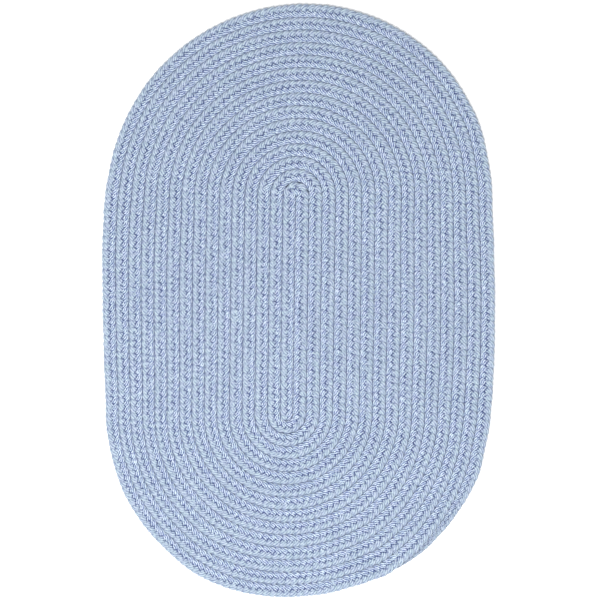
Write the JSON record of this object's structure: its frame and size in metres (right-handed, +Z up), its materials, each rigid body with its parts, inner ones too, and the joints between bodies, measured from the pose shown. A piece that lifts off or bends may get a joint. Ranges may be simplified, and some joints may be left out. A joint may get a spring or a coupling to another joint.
{
  "type": "braided rug",
  "caption": "Oval doorway rug of one flat yarn braid coiled round a straight core and laced edge to edge, reversible.",
  "frame": {"origin": "middle of the rug's outline, on the surface it lies on", "axes": "+X across the rug, +Y along its length, +Z up out of the walked-on face"},
  "size_m": [0.6038, 0.9124, 0.011],
  "materials": {
    "braid_yarn": "matt pale blue yarn braid"
  },
  "bodies": {
    "root": {"braided_rug": "braid_yarn"}
  },
  "joints": []
}
